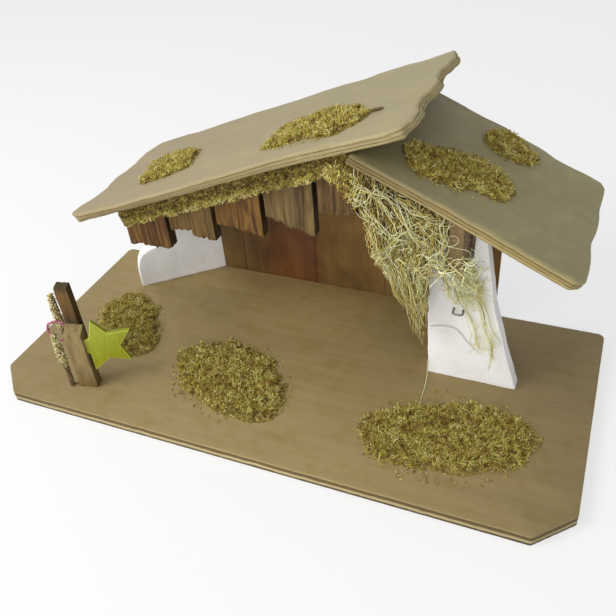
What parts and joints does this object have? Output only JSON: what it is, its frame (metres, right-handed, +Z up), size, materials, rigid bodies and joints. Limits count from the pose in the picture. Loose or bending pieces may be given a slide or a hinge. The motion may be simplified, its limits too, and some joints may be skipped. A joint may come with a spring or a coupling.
{
  "type": "nativity stable",
  "caption": "Open wooden nativity stable on a plywood base, with overlapping roof boards, white side walls, plank back wall, gable boards, moss, hay and a star.",
  "frame": {"origin": "centre of the base board's underside, which rests on the table", "axes": "+X to the right along the base board's length, +Y from the open front to the back wall, +Z up"},
  "size_m": [0.45, 0.2227, 0.2251],
  "materials": {
    "base_plywood": "stained plywood, satin",
    "white_plaster": "white plaster over wood, matt",
    "left_roof_plywood": "weathered plywood, matt",
    "right_roof_plywood": "stained plywood, satin",
    "stained_back_boards": "dark stained boards",
    "gable_wood": "rough sawn, dark stained",
    "stained_beams": "dark stained",
    "dried_moss": "dried moss",
    "hay": "dried grass fibre",
    "stake_wood": "stained, sawn ends",
    "twig_bark": "bark with lichen",
    "lime_paint": "lime green painted wood",
    "pink_cord": "translucent pink cord",
    "steel_wire": "bright steel wire",
    "zinc_steel": "zinc plated steel"
  },
  "bodies": {
    "root": {"base_board": "base_plywood", "left_wall": "white_plaster", "right_wall": "white_plaster", "left_roof": "left_roof_plywood", "right_roof": "right_roof_plywood", "back_board_1": "stained_back_boards", "back_board_2": "stained_back_boards", "back_board_3": "stained_back_boards", "back_board_4": "stained_back_boards", "back_board_5": "stained_back_boards", "front_rafter": "stained_beams", "ridge_beam": "stained_beams", "right_purlin": "stained_beams", "gable_board_1": "gable_wood", "gable_board_2": "gable_wood", "gable_board_3": "gable_wood", "gable_board_4": "gable_wood", "gable_board_5": "gable_wood", "gable_board_6": "gable_wood", "moss_fringe": "dried_moss", "moss_base_left": "dried_moss", "moss_base_middle": "dried_moss", "moss_base_right": "dried_moss", "moss_roof_left_low": "dried_moss", "moss_roof_left_high": "dried_moss", "moss_roof_right_low": "dried_moss", "moss_roof_right_high": "dried_moss", "hay_sheaf": "hay", "hay_tuft": "hay", "front_stake": "stake_wood", "rear_stake": "stake_wood", "front_twig": "twig_bark", "rear_twig": "twig_bark", "roof_twig": "twig_bark", "star": "lime_paint", "cord_loop": "pink_cord", "lantern_hook": "steel_wire", "wall_screws": "zinc_steel", "back_nails": "zinc_steel"}
  },
  "joints": []
}
